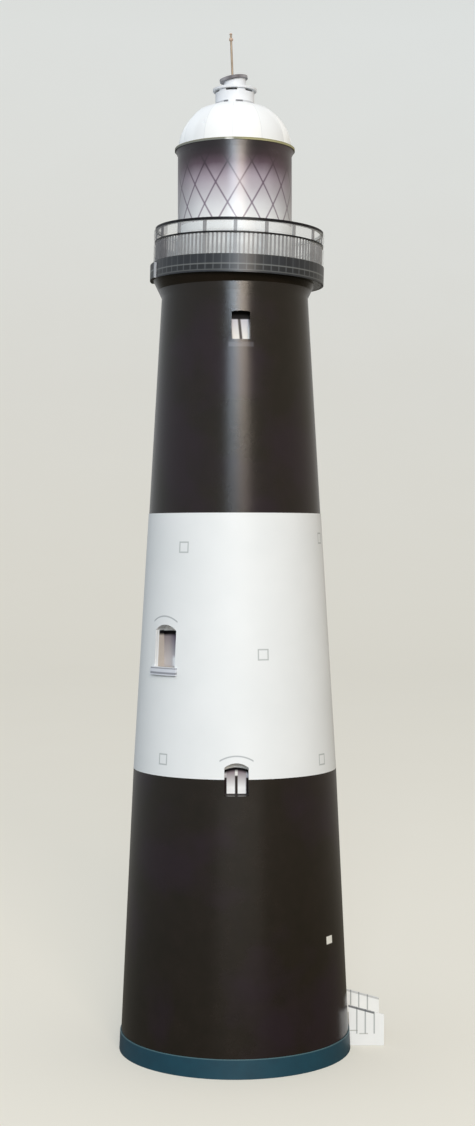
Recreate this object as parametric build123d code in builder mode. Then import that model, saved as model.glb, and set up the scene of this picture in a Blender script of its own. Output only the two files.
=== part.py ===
from build123d import *
from math import asin, cos, degrees, pi, radians, sin, sqrt
import os

# A printed card scale model of a tall tapering round lighthouse.  Three conical
# card walls, black, white and black, stand on a foot band.  A gallery with an
# open railing, a lantern, a twelve-gore dome and a small cowl stand on them.
# The origin is on the underside at the tower's axis, Z is up, and the entrance
# steps run along +X.  An angle on the tower is measured from -Y towards +X, in
# degrees.

# ---- stock ----
card = 0.35
paper = 0.15
film = 0.1
glue_gap = 0.02

# ---- tower walls ----
foot_radius = 18.4
lower_wall_height = 45.0
low_joint_radius = 16.25
middle_wall_height = 40.6
high_joint_radius = 13.8
upper_wall_setback = 0.08
upper_wall_height = 34.4
neck_radius = 11.7
plinth_height = 3.0

# ---- gallery ----
corbel_height = 2.4
corbel_flare = 1.15
gallery_overhang = 0.85
gallery_offset = 0.5
gallery_lean = 1.6
fascia_height = 2.8
flap_angle = -85.0
flap_span = 30.0
flap_thickness = 0.38
flap_drop = 0.35

# ---- gallery railing ----
post_count = 17
post_start_angle = -2.5
post_width = 0.55
post_depth = 0.25
post_height = 5.15
top_rail_width = 0.45
top_rail_thickness = 0.45
mid_rail_rise = 3.2
mid_rail_height = 0.26
balusters_per_bay = 6
baluster_width = 0.28

# ---- lantern ----
lantern_radius = 9.12
murette_height = 6.0
glazing_height = 11.5
cornice_height = 0.8
cornice_flare = 0.38
eave_overhang = 0.1

# ---- dome ----
gore_count = 12
gore_seam_angle = -2.0
dome_setback = 0.5
dome_shoulder_inset = 1.6
dome_shoulder_rise = 4.5
dome_rise = 7.6

# ---- ventilator and cowl ----
ventilator_radius = 3.1
ventilator_height = 1.65
ventilator_seat = 0.15
slot_count = 6
slot_width = 1.8
slot_height = 0.35
slot_start_angle = -10.0
flange_overhang = 0.4
cowl_radius = 1.75
cowl_height = 1.4
cap_offset = -0.15
cap_overhang = 0.5
cap_edge = 0.45
cap_rise = 0.75
cap_lean = -9.0

# ---- lightning rod ----
rod_radius = 0.17
rod_length = 7.4
rod_offset = -0.35
rod_lean = -2.2
bead_radius = 0.33
bead_drop = 0.8
tip_radius = 0.24

# ---- windows and door ----
recess_depth = 1.2
reveal_card = 0.3
pane_thickness = 0.3

upper_window_angle = 4.6
upper_window_drop = 7.7
upper_window_width = 2.85
upper_window_height = 4.4
upper_window_head = 0.15

middle_window_angle = -46.3
middle_window_rise = 16.7
middle_window_width = 4.7
middle_window_height = 6.6
middle_window_head = 0.9
sill_width = 5.7
sill_height = 1.2
sill_proud = 0.4

lower_window_angle = 1.0
lower_window_drop = 2.5
lower_window_width = 3.7
lower_window_height = 5.0
lower_window_head = 0.7

# ---- entrance ----
stair_width = 10.3
riser = 0.65
tread = 1.5
landing_length = 1.7
last_tread = 0.95
step_count = 4
panel_wall_rise = 3.9
panel_end_rise = 4.3
door_width = 4.6
door_height = 8.4
door_head = 0.6

# ---- levels and radii that follow from the sizes ----
low_joint = lower_wall_height
high_joint = low_joint + middle_wall_height
neck = high_joint + upper_wall_height
upper_base_radius = high_joint_radius - upper_wall_setback
landing = riser * step_count

gallery_level = neck + corbel_height
corbel_radius = neck_radius + corbel_flare
gallery_radius = corbel_radius + gallery_overhang
railing_face = gallery_radius - card - glue_gap

murette_top = gallery_level + fascia_height + murette_height
glazing_top = murette_top + glazing_height
eave_level = glazing_top + cornice_height
cornice_radius = lantern_radius + cornice_flare
eave_radius = cornice_radius + eave_overhang
dome_radius = eave_radius - dome_setback
dome_level = eave_level + card
dome_top = dome_level + dome_rise
flange_level = dome_top + ventilator_height
cap_level = flange_level + card + cowl_height
full_turn = 360
half_turn = 180


def leaning(across, height, lean):
    """A level plane at a height, tipped towards +X by an angle."""
    along, down = cos(radians(lean)), sin(radians(lean))
    return Plane(origin=(across, 0, height), x_dir=(along, 0, -down), z_dir=(down, 0, along))


gallery_plane = leaning(gallery_offset, gallery_level, gallery_lean)
deck_plane = gallery_plane.offset(fascia_height)
post_top_plane = deck_plane.offset(post_height)
cap_plane = leaning(cap_offset, cap_level, cap_lean)
rod_plane = leaning(rod_offset, cap_level, rod_lean)


def polar(angle):
    """Turns an angle on the tower into one counted from +X, anticlockwise."""
    return angle - 90


def facing(angle, height):
    """A plane on the axis at a height, looking outward at that angle, with its
    x to the viewer's right and its y upward."""
    turn = radians(angle)
    return Plane(
        origin=(0, 0, height),
        x_dir=(cos(turn), sin(turn), 0),
        z_dir=(sin(turn), -cos(turn), 0),
    )


def wall_radius(height):
    """The outer radius of the tower's walls at a height."""
    sections = (
        (0, foot_radius, low_joint, low_joint_radius),
        (low_joint, low_joint_radius, high_joint, high_joint_radius),
        (high_joint, upper_base_radius, neck, neck_radius),
    )
    for bottom, bottom_radius, top, top_radius in sections:
        if height <= top:
            break
    return bottom_radius + (top_radius - bottom_radius) * (height - bottom) / (top - bottom)


def cone_ring(bottom, bottom_radius, top, top_radius, thickness):
    """A conical ring of card round the axis, given by its outer radii."""
    with BuildPart() as ring:
        with BuildSketch(Plane.XZ):
            Polygon(
                (bottom_radius - thickness, bottom),
                (bottom_radius, bottom),
                (top_radius, top),
                (top_radius - thickness, top),
                align=None,
            )
        revolve(axis=Axis.Z)
    return ring.part


def flat_ring(plane, outer, inner, height):
    """An upright ring standing on a plane, round that plane's origin."""
    with BuildPart() as ring:
        with BuildSketch(plane):
            Circle(outer)
            Circle(inner, mode=Mode.SUBTRACT)
        extrude(amount=height)
    return ring.part


def headed_outline(width, height, rise, margin):
    """An opening with a segmental head and its sill on the origin, widened all
    round by a margin."""
    half = width / 2 + margin
    spring = height - rise
    with BuildSketch() as outline:
        with BuildLine():
            Polyline((-half, spring), (-half, -margin), (half, -margin), (half, spring))
            ThreePointArc((half, spring), (0, height + margin), (-half, spring))
        make_face()
    return outline.sketch


def through_wall(angle, sill, outline):
    """A bar of an opening's outline that runs out through the wall."""
    reach = wall_radius(sill)
    with BuildPart() as bar:
        with BuildSketch(facing(angle, sill).offset(reach / 2)):
            add(outline)
        extrude(amount=reach)
    return bar.part


def write(part, name):
    """Labels a finished piece and writes it under its own name."""
    part.label = name
    export_step(part, f"parts/{name}.step")


os.makedirs("parts", exist_ok=True)

# The space inside the walls, which trims what is glued in behind an opening.
with BuildPart() as hollow:
    with BuildSketch(Plane.XZ):
        Polygon(
            (0, 0),
            (foot_radius - card - glue_gap, 0),
            (low_joint_radius - card - glue_gap, low_joint),
            (upper_base_radius - card - glue_gap, high_joint),
            (neck_radius - card - glue_gap, neck),
            (0, neck),
            align=None,
        )
    revolve(axis=Axis.Z)

# ---- openings through the walls ----
upper_sill = neck - upper_window_drop
middle_sill = low_joint + middle_window_rise
lower_sill = low_joint - lower_window_drop
stair_middle = card + stair_width / 2
door_angle = 90 + degrees(asin(stair_middle / foot_radius))

upper_size = (upper_window_width, upper_window_height, upper_window_head)
middle_size = (middle_window_width, middle_window_height, middle_window_head)
lower_size = (lower_window_width, lower_window_height, lower_window_head)
door_size = (door_width, door_height, door_head)


def bars(angle, sill, size):
    """The bars that cut a window and its twin on the far side of the tower."""
    return [through_wall(angle + turn, sill, headed_outline(*size, 0)) for turn in (0, half_turn)]


upper_bars = bars(upper_window_angle, upper_sill, upper_size)
middle_bars = bars(middle_window_angle, middle_sill, middle_size)
lower_bars = bars(lower_window_angle, lower_sill, lower_size)
door_bar = through_wall(door_angle, landing, headed_outline(*door_size, 0))

# ---- foot ----
with BuildPart() as base_disc:
    with BuildSketch():
        Circle(foot_radius - card - glue_gap)
    extrude(amount=card)
write(base_disc.part, "base_disc")

band = glue_gap + paper
with BuildPart() as plinth_band:
    add(cone_ring(0, foot_radius + band, plinth_height, wall_radius(plinth_height) + band, paper))
    add(door_bar, mode=Mode.SUBTRACT)
write(plinth_band.part, "plinth_band")

# ---- tower walls ----
with BuildPart() as lower_wall:
    add(cone_ring(0, foot_radius, low_joint, low_joint_radius, card))
    add(lower_bars + [door_bar], mode=Mode.SUBTRACT)
write(lower_wall.part, "lower_wall")

with BuildPart() as middle_wall:
    add(cone_ring(low_joint, low_joint_radius, high_joint, high_joint_radius, card))
    add(lower_bars + middle_bars, mode=Mode.SUBTRACT)
write(middle_wall.part, "middle_wall")

with BuildPart() as upper_wall:
    add(cone_ring(high_joint, upper_base_radius, neck, neck_radius, card))
    add(upper_bars, mode=Mode.SUBTRACT)
write(upper_wall.part, "upper_wall")


# ---- windows and door ----
def lined_recess(angle, sill, size, lining_name, panel_name):
    """A card lining glued behind an opening and closed by a panel, which stands
    clear of the wall's inner face at the opening's head."""
    width, height, _ = size
    inner_face = wall_radius(sill + height) - card - glue_gap
    back = sqrt(inner_face**2 - (width / 2 + reveal_card) ** 2) - recess_depth
    lined = headed_outline(*size, reveal_card)
    with BuildPart() as lining:
        with BuildSketch(facing(angle, sill).offset(back)):
            add(lined)
            add(headed_outline(*size, 0), mode=Mode.SUBTRACT)
        extrude(amount=foot_radius - back)
        add(hollow.part, mode=Mode.INTERSECT)
    write(lining.part, lining_name)
    with BuildPart() as panel:
        with BuildSketch(facing(angle, sill).offset(back - pane_thickness)):
            add(lined)
        extrude(amount=pane_thickness)
    write(panel.part, panel_name)


for side, turn in (("front", 0), ("back", half_turn)):
    for level, angle, sill, size in (
        ("upper", upper_window_angle, upper_sill, upper_size),
        ("middle", middle_window_angle, middle_sill, middle_size),
        ("lower", lower_window_angle, lower_sill, lower_size),
    ):
        window = f"{level}_{side}_window"
        lined_recess(angle + turn, sill, size, f"{window}_reveal", f"{window}_pane")

    # The sill strip under the middle window follows the wall.
    sill_bottom = middle_sill - sill_height
    sill_face = glue_gap + sill_proud
    with BuildPart() as window_sill:
        with BuildSketch(facing(middle_window_angle + turn, middle_sill)):
            Rectangle(sill_width, sill_height, align=(Align.CENTER, Align.MAX))
        extrude(amount=foot_radius + sill_proud)
        add(
            cone_ring(
                sill_bottom,
                wall_radius(sill_bottom) + sill_face,
                middle_sill,
                wall_radius(middle_sill) + sill_face,
                sill_proud,
            ),
            mode=Mode.INTERSECT,
        )
    write(window_sill.part, f"middle_{side}_window_sill")

lined_recess(door_angle, landing, door_size, "door_reveal", "door_leaf")

# ---- gallery ----
# The corbel is drawn too tall and trimmed to the lean of the gallery.
corbel_spare = gallery_radius * sin(radians(abs(gallery_lean))) + card
corbel_draft = corbel_height + corbel_spare
corbel_draft_radius = neck_radius + corbel_flare * corbel_draft / corbel_height
with BuildPart() as gallery_corbel:
    add(cone_ring(neck, neck_radius, neck + corbel_draft, corbel_draft_radius, card))
    split(bisect_by=gallery_plane, keep=Keep.BOTTOM)
write(gallery_corbel.part, "gallery_corbel")

with BuildPart() as gallery_soffit:
    with BuildSketch(gallery_plane):
        Circle(railing_face)
    extrude(amount=card)
write(gallery_soffit.part, "gallery_soffit")

write(flat_ring(gallery_plane, gallery_radius, gallery_radius - card, fascia_height), "gallery_fascia")

with BuildPart() as gallery_deck:
    with BuildSketch(deck_plane.offset(-card)):
        Circle(railing_face)
    extrude(amount=card)
write(gallery_deck.part, "gallery_deck")

# The end of the fascia strip laps over its start as a raised flap.
flap_inner = gallery_radius + glue_gap
with BuildPart() as fascia_flap:
    with BuildSketch(gallery_plane):
        with BuildLine():
            start = polar(flap_angle) - flap_span / 2
            inner_arc = CenterArc((0, 0), flap_inner, start, flap_span)
            outer_arc = CenterArc((0, 0), flap_inner + flap_thickness, start, flap_span)
            Line(inner_arc @ 0, outer_arc @ 0)
            Line(inner_arc @ 1, outer_arc @ 1)
        make_face()
    extrude(amount=fascia_height - flap_drop)
write(fascia_flap.part, "fascia_flap")

# ---- gallery railing ----
post_middle = railing_face - post_depth / 2
with BuildPart() as gallery_posts:
    with BuildSketch(deck_plane):
        with PolarLocations(post_middle, post_count, start_angle=polar(post_start_angle)):
            Rectangle(post_depth, post_width)
    extrude(amount=post_height)
write(gallery_posts.part, "gallery_posts")

bay = full_turn / post_count
baluster_pitch = bay / (balusters_per_bay + 1)
with BuildPart() as gallery_balusters:
    with BuildSketch(deck_plane):
        for place in range(1, balusters_per_bay + 1):
            first = polar(post_start_angle) + place * baluster_pitch
            with PolarLocations(railing_face - paper / 2, post_count, start_angle=first):
                Rectangle(paper, baluster_width)
    extrude(amount=mid_rail_rise + mid_rail_height)
write(gallery_balusters.part, "gallery_balusters")

mid_rail_inner = railing_face + glue_gap
mid_rail_outer = mid_rail_inner + paper
write(
    flat_ring(deck_plane.offset(mid_rail_rise), mid_rail_outer, mid_rail_inner, mid_rail_height),
    "gallery_mid_rail",
)
top_rail_outer = post_middle + top_rail_width / 2
write(
    flat_ring(post_top_plane, top_rail_outer, top_rail_outer - top_rail_width, top_rail_thickness),
    "gallery_top_rail",
)

# A clear film stands on the fascia's top edge, round the posts and the mid rail.
film_inner = mid_rail_outer + glue_gap
write(flat_ring(deck_plane, film_inner + film, film_inner, post_height), "railing_film")

# ---- lantern ----
with BuildPart() as lantern_murette:
    add(cone_ring(gallery_level, lantern_radius, murette_top, lantern_radius, card))
    split(bisect_by=deck_plane, keep=Keep.TOP)
write(lantern_murette.part, "lantern_murette")

with BuildPart() as lantern_glazing:
    add(cone_ring(murette_top, lantern_radius, glazing_top, lantern_radius, card))
write(lantern_glazing.part, "lantern_glazing")

with BuildPart() as lantern_cornice:
    add(cone_ring(glazing_top, lantern_radius, eave_level, cornice_radius, card))
write(lantern_cornice.part, "lantern_cornice")

with BuildPart() as lantern_eave:
    with BuildSketch(Plane.XY.offset(eave_level)):
        Circle(eave_radius)
    extrude(amount=card)
write(lantern_eave.part, "lantern_eave")


# ---- dome ----
def gore_vault(shrink):
    """The solid of a dome of straight-sided gores, shrunk by a share towards the
    middle of its foot: where pairs of opposite gores cross as barrel vaults."""
    flat = cos(pi / gore_count) * shrink
    foot = dome_radius * flat
    shoulder = (dome_radius - dome_shoulder_inset) * flat
    shoulder_rise = dome_shoulder_rise * shrink
    brow = (ventilator_radius + ventilator_seat) * flat
    rise = dome_rise * shrink
    with BuildPart() as vault:
        for pair in range(gore_count // 2):
            gore_middle = gore_seam_angle + (pair + 0.5) * full_turn / gore_count
            with BuildSketch(facing(gore_middle, dome_level).offset(-dome_radius)):
                with BuildLine():
                    ThreePointArc((foot, 0), (shoulder, shoulder_rise), (brow, rise))
                    Line((brow, rise), (-brow, rise))
                    ThreePointArc((-brow, rise), (-shoulder, shoulder_rise), (-foot, 0))
                    Line((-foot, 0), (foot, 0))
                make_face()
            mode = Mode.ADD if pair == 0 else Mode.INTERSECT
            extrude(amount=dome_radius * 2, mode=mode)
    return vault.part


with BuildPart() as lantern_dome:
    add(gore_vault(1))
    add(gore_vault(1 - card / dome_radius), mode=Mode.SUBTRACT)
write(lantern_dome.part, "lantern_dome")

# ---- ventilator and cowl ----
with BuildPart() as ventilator_drum:
    with BuildSketch(Plane.XY.offset(dome_top)):
        Circle(ventilator_radius)
        Circle(ventilator_radius - card, mode=Mode.SUBTRACT)
    extrude(amount=ventilator_height)
    with BuildSketch(Plane.XY.offset(flange_level)):
        with PolarLocations(ventilator_radius, slot_count, start_angle=polar(slot_start_angle)):
            Rectangle(card * 4, slot_width)
    extrude(amount=-slot_height, mode=Mode.SUBTRACT)
write(ventilator_drum.part, "ventilator_drum")

with BuildPart() as ventilator_flange:
    with BuildSketch(Plane.XY.offset(flange_level)):
        Circle(ventilator_radius + flange_overhang)
    extrude(amount=card)
write(ventilator_flange.part, "ventilator_flange")

# The cowl's drum is drawn too tall and trimmed to the lean of its cap.
with BuildPart() as cowl_drum:
    with BuildSketch(Plane.XY.offset(flange_level + card)):
        Circle(cowl_radius)
        Circle(cowl_radius - card, mode=Mode.SUBTRACT)
    extrude(amount=cowl_height + cowl_radius)
    split(bisect_by=cap_plane, keep=Keep.BOTTOM)
write(cowl_drum.part, "cowl_drum")

with BuildPart() as cowl_cap:
    with BuildSketch(cap_plane):
        Circle(cowl_radius + cap_overhang)
    extrude(amount=cap_edge)
    with BuildSketch(cap_plane.offset(cap_edge)):
        Circle(cowl_radius + cap_overhang)
    with BuildSketch(cap_plane.offset(cap_rise)):
        Circle(rod_radius * 2)
    loft()
    with BuildSketch(rod_plane):
        Circle(rod_radius + glue_gap)
    extrude(amount=cap_rise * 2, both=True, mode=Mode.SUBTRACT)
write(cowl_cap.part, "cowl_cap")

# ---- lightning rod ----
with BuildPart() as lightning_rod:
    with BuildSketch(rod_plane):
        Circle(rod_radius)
    extrude(amount=rod_length)
write(lightning_rod.part, "lightning_rod")

with BuildPart() as rod_bead:
    with Locations(rod_plane.offset(rod_length - bead_drop).location):
        Sphere(bead_radius)
        Cylinder(rod_radius + glue_gap, bead_radius * 2, mode=Mode.SUBTRACT)
write(rod_bead.part, "rod_bead")

with BuildPart() as rod_tip:
    with Locations(rod_plane.offset(rod_length).location):
        Sphere(tip_radius, arc_size1=0, align=(Align.CENTER, Align.CENTER, Align.MIN))
write(rod_tip.part, "rod_tip")

# ---- entrance steps ----
# The tower's outside at the foot, which trims what is glued against it.
clear = band + glue_gap
with BuildPart() as tower_foot:
    with BuildSketch(Plane.XZ):
        Polygon(
            (0, 0),
            (foot_radius + clear, 0),
            (low_joint_radius + clear, low_joint),
            (0, low_joint),
            align=None,
        )
    revolve(axis=Axis.Z)

stair_start = foot_radius / 2
landing_end = foot_radius + landing_length
stair_end = landing_end + (step_count - 2) * tread + last_tread
stair_top = [(stair_start, landing)]
for step in range(step_count):
    nosing = stair_end if step == step_count - 1 else landing_end + step * tread
    level = landing - step * riser
    stair_top += [(nosing, level), (nosing, level - riser)]
stair_under = [(across - card, max(level - card, 0)) for across, level in stair_top]
with BuildPart() as entrance_steps:
    with BuildSketch(Plane.XZ.offset(-card - stair_width)):
        Polygon(*stair_top, *reversed(stair_under), align=None)
    extrude(amount=stair_width)
    add(tower_foot.part, mode=Mode.SUBTRACT)
write(entrance_steps.part, "entrance_steps")

panel_top = landing + panel_wall_rise
for side, front in (("near", 0), ("far", card + stair_width)):
    with BuildPart() as panel:
        with BuildSketch(Plane.XZ.offset(-front - card)):
            Polygon(
                (stair_start, 0),
                (stair_end, 0),
                (stair_end, riser + panel_end_rise),
                (foot_radius, panel_top),
                (stair_start, panel_top),
                align=None,
            )
        extrude(amount=card)
        add(tower_foot.part, mode=Mode.SUBTRACT)
    write(panel.part, f"steps_railing_{side}")
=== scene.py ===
from math import cos, degrees, pi, radians, sin

import bmesh
import bpy
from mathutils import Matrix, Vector


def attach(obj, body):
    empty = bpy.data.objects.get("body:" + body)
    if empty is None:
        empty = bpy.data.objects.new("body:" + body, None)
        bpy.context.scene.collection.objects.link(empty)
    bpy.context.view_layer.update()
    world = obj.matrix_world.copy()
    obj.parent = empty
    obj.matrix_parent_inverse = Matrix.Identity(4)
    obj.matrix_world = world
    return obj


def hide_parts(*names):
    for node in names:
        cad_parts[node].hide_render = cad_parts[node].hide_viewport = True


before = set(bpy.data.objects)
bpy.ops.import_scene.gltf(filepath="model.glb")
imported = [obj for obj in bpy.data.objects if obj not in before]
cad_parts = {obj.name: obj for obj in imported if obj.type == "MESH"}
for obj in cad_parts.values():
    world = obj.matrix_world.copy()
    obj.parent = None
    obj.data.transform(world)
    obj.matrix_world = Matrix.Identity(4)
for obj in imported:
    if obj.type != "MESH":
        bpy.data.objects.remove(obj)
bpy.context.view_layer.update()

# ---- Camera ----
# The whole tower stands upright in a tall narrow frame. The eye is at the middle
# of its height, nearly twice its height away and a hair to the right of its axis.
mm = 0.001
eye_across = 0.43 * mm
eye_distance = 289.0 * mm
eye_height = 81.4 * mm
eye_dip = 0.73
eye_lens = 57.55
nearest_seen = 10 * mm

eye_data = bpy.data.cameras.new("eye")
eye_data.lens = eye_lens
eye_data.clip_start = nearest_seen
eye = bpy.data.objects.new("eye", eye_data)
eye.location = (eye_across, -eye_distance, eye_height)
eye.rotation_euler = (radians(90 - eye_dip), 0, 0)
bpy.context.scene.collection.objects.link(eye)
bpy.context.scene.camera = eye
bpy.context.scene.view_settings.view_transform = "Standard"


# ---- Table and studio light ----
# The model stands on a plain pale sheet that rises all round like a wide dish. A
# cool and a warm soft box side by side lay the gloss down its front, with a weak
# pair under them, a low broad glow before it and a small box on each side of the dome.
class Reading:
    """A number that varies over a surface. Sums written with it add Math nodes."""

    def __init__(self, bench, socket):
        self.bench = bench
        self.socket = socket

    def sum(self, operation, *terms):
        return self.bench.node("ShaderNodeMath", {"operation": operation}, dict(enumerate(terms)))

    def __add__(self, other):
        return self.sum("ADD", self, other)

    def __radd__(self, other):
        return self.sum("ADD", other, self)

    def __sub__(self, other):
        return self.sum("SUBTRACT", self, other)

    def __rsub__(self, other):
        return self.sum("SUBTRACT", other, self)

    def __mul__(self, other):
        return self.sum("MULTIPLY", self, other)

    def __rmul__(self, other):
        return self.sum("MULTIPLY", other, self)

    def __truediv__(self, other):
        return self.sum("DIVIDE", self, other)

    def __rtruediv__(self, other):
        return self.sum("DIVIDE", other, self)

    def __abs__(self):
        return self.sum("ABSOLUTE", self)

    def __gt__(self, other):
        return self.sum("GREATER_THAN", self, other)

    def __lt__(self, other):
        return self.sum("LESS_THAN", self, other)

    def clamped(self):
        return self.bench.node("ShaderNodeClamp", {}, {"Value": self})

    def wrapped(self, reach):
        """The same place counted again from -reach to reach, over and over."""
        return self.sum("WRAP", self, reach, -reach)


class Bench:
    """A node tree being put together."""

    def __init__(self, tree):
        self.tree = tree

    def wire(self, socket, value):
        """Links a reading to a socket, or sets the socket to a value."""
        if isinstance(value, Reading):
            self.tree.links.new(value.socket, socket)
        else:
            socket.default_value = value

    def node(self, kind, settings, inputs, output=0):
        """Adds a node with its settings and the values or links of its sockets."""
        made = self.tree.nodes.new(kind)
        for setting, value in settings.items():
            if setting == "stops":
                ramp = made.color_ramp
                while len(ramp.elements) < len(value):
                    ramp.elements.new(0.5)
                for stop, (place, colour) in zip(ramp.elements, value):
                    stop.position = place
                    stop.color = colour
            else:
                setattr(made, setting, value)
        for socket, value in inputs.items():
            self.wire(made.inputs[socket], value)
        return Reading(self, made.outputs[output]) if made.outputs else None


def ink(red, green, blue):
    """A printed colour, from its screen value of 0 to 255 in each channel."""
    light = []
    for value in (red, green, blue):
        share = value / 255
        light.append(share / 12.92 if value <= 10 else ((share + 0.055) / 1.055) ** 2.4)
    return (*light, 1.0)


class Finish(Bench):
    """A material for one kind of card, print or metal. Its readings x, y and up are
    in millimetres, and around is in degrees from the front."""

    def __init__(self, name, constants):
        self.material = bpy.data.materials.new(name)
        self.material.use_nodes = True
        super().__init__(self.material.node_tree)
        self.surface = self.tree.nodes["Principled BSDF"]
        for socket, value in constants.items():
            self.surface.inputs[socket].default_value = value
        metres = self.node("ShaderNodeTexCoord", {}, {}, "Object")
        self.place = self.node(
            "ShaderNodeVectorMath", {"operation": "SCALE"}, {0: metres, "Scale": 1 / mm}
        )
        parts = self.node("ShaderNodeSeparateXYZ", {}, {0: self.place}).socket.node.outputs
        self.x, self.y, self.up = (Reading(self, part) for part in parts)
        self.around = self.x.sum("ARCTAN2", self.x, 0 - self.y) * degrees(1)

    def lay(self, share, under, over):
        """One ink over another where share is 1."""
        return self.node(
            "ShaderNodeMix", {"data_type": "RGBA"}, {0: share, 6: under, 7: over}, 2
        )

    def line(self, reading, middle, width, soft):
        """1 on a printed line at a reading, falling to 0 over a soft edge."""
        return ((width / 2 - abs(reading - middle)) / soft + 0.5).clamped()

    def step(self, reading, start, soft):
        """0 below a reading and 1 above it, over a soft edge."""
        return ((reading - start) / soft + 0.5).clamped()

    def noise(self, scale, detail=3.0, rough=0.5, stretch=(1, 1, 1)):
        """Cloudy unevenness from 0 to 1, at a scale of clouds to a millimetre."""
        drawn = self.node(
            "ShaderNodeVectorMath", {"operation": "MULTIPLY"}, {0: self.place, 1: stretch}
        )
        return self.node(
            "ShaderNodeTexNoise",
            {},
            {"Vector": drawn, "Scale": scale, "Detail": detail, "Roughness": rough},
        )

    def bump(self, height, strength, distance):
        """Feeds the surface's relief from a height, whose 1 stands a distance tall."""
        relief = self.node(
            "ShaderNodeBump",
            {},
            {"Strength": strength, "Distance": distance * mm, "Height": height},
        )
        self.wire(self.surface.inputs["Normal"], relief)

    def finish(self, colour, roughness, metallic=None):
        self.wire(self.surface.inputs["Base Color"], colour)
        self.wire(self.surface.inputs["Roughness"], roughness)
        if metallic is not None:
            self.wire(self.surface.inputs["Metallic"], metallic)
        return self.material


dish_radius = 1500.0 * mm
dish_fillet = 700.0 * mm
dish_height = 1500.0 * mm
dish_drop = 0.02 * mm
fillet_steps = 16
dish_turns = 96
sheet_glow = 0.4
sheet_tone_rise = 600.0

sheet = bmesh.new()
profile = [(0.0, 0.0), (dish_radius - dish_fillet, 0.0)]
for part in range(1, fillet_steps + 1):
    turn = part / fillet_steps * pi / 2
    profile.append((dish_radius - dish_fillet * (1 - sin(turn)), dish_fillet * (1 - cos(turn))))
profile.append((dish_radius, dish_height))
edge = [sheet.verts.new((across, 0, up - dish_drop)) for across, up in profile]
for first, second in zip(edge, edge[1:]):
    sheet.edges.new((first, second))
bmesh.ops.spin(
    sheet,
    geom=sheet.verts[:] + sheet.edges[:],
    cent=(0, 0, 0),
    axis=(0, 0, 1),
    angle=2 * pi,
    steps=dish_turns,
    use_duplicate=False,
)
bmesh.ops.remove_doubles(sheet, verts=sheet.verts, dist=1e-6)
for face in sheet.faces:
    face.smooth = True
sheet_mesh = bpy.data.meshes.new("pale_sheet")
sheet.to_mesh(sheet_mesh)
sheet.free()
pale_sheet = bpy.data.objects.new("pale_sheet", sheet_mesh)
bpy.context.scene.collection.objects.link(pale_sheet)
pale_sheet.visible_diffuse = False
pale_sheet.visible_glossy = False
pale_sheet.visible_shadow = False

# The sheet glows a little of itself, a painted light that makes it brighter without lighting the
# tower, and its colour runs paler higher up.
paper_sheet = Finish(
    "pale_sheet_paper", {"Specular IOR Level": 0.2, "Emission Strength": sheet_glow}
)
cloud = paper_sheet.noise(0.02)
sheet_colour = paper_sheet.node(
    "ShaderNodeValToRGB",
    {"stops": [(0.0, ink(203, 200, 190)), (0.4, ink(210, 209, 203)), (1.0, ink(228, 231, 230))]},
    {0: paper_sheet.up / sheet_tone_rise + cloud * 0.06},
)
paper_sheet.wire(paper_sheet.surface.inputs["Emission Color"], sheet_colour)
sheet_mesh.materials.append(paper_sheet.finish(sheet_colour, 0.9))

room_power = 0.84
room_floor = ink(70, 66, 56)
room_skirting = ink(116, 112, 102)
room_wall = ink(204, 204, 202)
room_ceiling = ink(238, 241, 245)
left_tint = (1.0, 1.06, 1.12, 1.0)
right_tint = (0.96, 0.88, 0.75, 1.0)
cool_light = (0.70, 0.85, 1.0)
warm_light = (1.0, 0.85, 0.70)

room = bpy.data.worlds.new("studio")
bpy.context.scene.world = room
room.use_nodes = True
room_bench = Bench(room.node_tree)
room_light = room.node_tree.nodes["Background"]
room_way = room_bench.node("ShaderNodeTexCoord", {}, {}, "Generated")
room_side = room_bench.node("ShaderNodeSeparateXYZ", {}, {0: room_way}, "X")
room_height = room_bench.node("ShaderNodeSeparateXYZ", {}, {0: room_way}, "Z")
room_colour = room_bench.node(
    "ShaderNodeValToRGB",
    {
        "stops": [
            (0.0, room_floor),
            (0.4, room_skirting),
            (0.49, room_wall),
            (1.0, room_ceiling),
        ]
    },
    {0: room_height * 0.5 + 0.5},
)
room_tint = room_bench.node(
    "ShaderNodeValToRGB",
    {"stops": [(0.0, left_tint), (0.5, (1.0, 1.0, 1.0, 1.0)), (1.0, right_tint)]},
    {0: room_side * 0.5 + 0.5},
)
room_colour = room_bench.node(
    "ShaderNodeMix",
    {"data_type": "RGBA", "blend_type": "MULTIPLY"},
    {0: 1.0, 6: room_colour, 7: room_tint},
    2,
)
room_bench.wire(room_light.inputs["Color"], room_colour)
room_light.inputs["Strength"].default_value = room_power


def soft_box(name, turn, rise, distance, size, power, colour, level=90 * mm, spread=180):
    """A lit panel facing the tower's axis at a level, from a turn off the front and a
    rise in degrees, with its light spread over an angle."""
    lit = bpy.data.lights.new(name, "AREA")
    lit.shape = "RECTANGLE"
    lit.size, lit.size_y = size
    lit.energy = power
    lit.color = colour
    lit.spread = radians(spread)
    box = bpy.data.objects.new(name, lit)
    target = Vector((0, 0, level))
    reach = cos(radians(rise))
    way = Vector((sin(radians(turn)) * reach, -cos(radians(turn)) * reach, sin(radians(rise))))
    box.location = target + way * distance
    box.rotation_mode = "QUATERNION"
    box.rotation_quaternion = way.to_track_quat("Z", "Y")
    box.visible_camera = False
    bpy.context.scene.collection.objects.link(box)


soft_box("cool_box", -1.5, 21.5, 1.0, (0.24, 0.26), 3.1, cool_light)
soft_box("warm_box", 11, 21.5, 1.0, (0.26, 0.26), 3.6, warm_light)
soft_box("cool_low_box", -2.5, 12, 1.02, (0.24, 0.16), 0.36, cool_light)
soft_box("warm_low_box", 11, 12, 1.02, (0.26, 0.16), 0.40, warm_light)
soft_box("front_glow", 5, -6, 1.03, (0.9, 0.2), 0.3, (1.0, 0.93, 0.84))
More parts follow.
